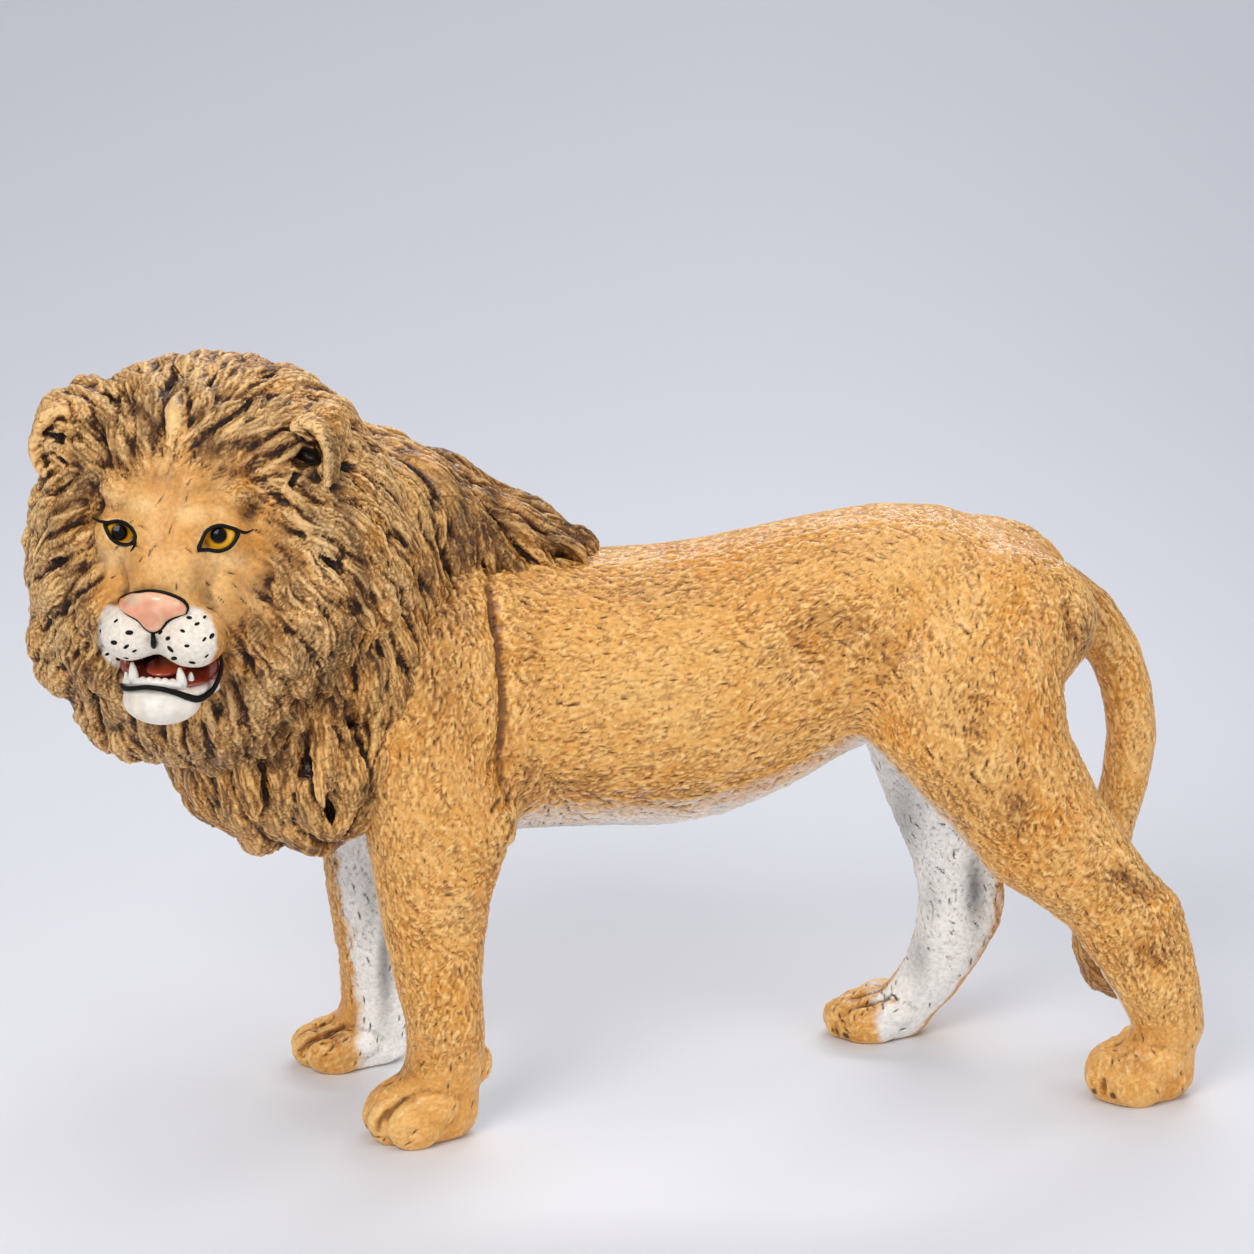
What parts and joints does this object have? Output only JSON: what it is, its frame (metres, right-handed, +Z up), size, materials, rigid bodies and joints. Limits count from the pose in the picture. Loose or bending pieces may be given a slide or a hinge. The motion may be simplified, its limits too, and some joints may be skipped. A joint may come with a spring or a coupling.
{
  "type": "toy wild animal figure",
  "caption": "Standing male lion figure with head turned to its left and mouth open, glued up from moulded PVC parts, resting on its paws.",
  "frame": {"origin": "on the ground under the middle of the figure's bounding box", "axes": "+X towards the rump, so the lion walks along -X; +Y towards its right side; +Z up"},
  "size_m": [0.1406, 0.052, 0.0974],
  "materials": {
    "tan_fur": "Moulded PVC, hand painted tan with a brown wash in the carved fur, satin lacquer",
    "mane_fur": "Moulded PVC, deep carved locks, dark brown wash with tan dry brushing, satin lacquer",
    "head_fur": "Moulded PVC, tan face, brown washed ruff, painted eyes, nose and muzzle, satin lacquer",
    "jaw_paint": "Moulded PVC, white chin and teeth, red-brown mouth, gloss lacquer",
    "tail_fur": "Moulded PVC, tan with a dark brown tuft, satin lacquer"
  },
  "bodies": {
    "root": {"trunk_left": "tan_fur", "trunk_right": "tan_fur", "front_leg_left": "tan_fur", "front_leg_right": "tan_fur", "hind_leg_left": "tan_fur", "hind_leg_right": "tan_fur", "head": "head_fur", "lower_jaw": "jaw_paint", "mane_collar": "mane_fur", "tail": "tail_fur"}
  },
  "joints": []
}
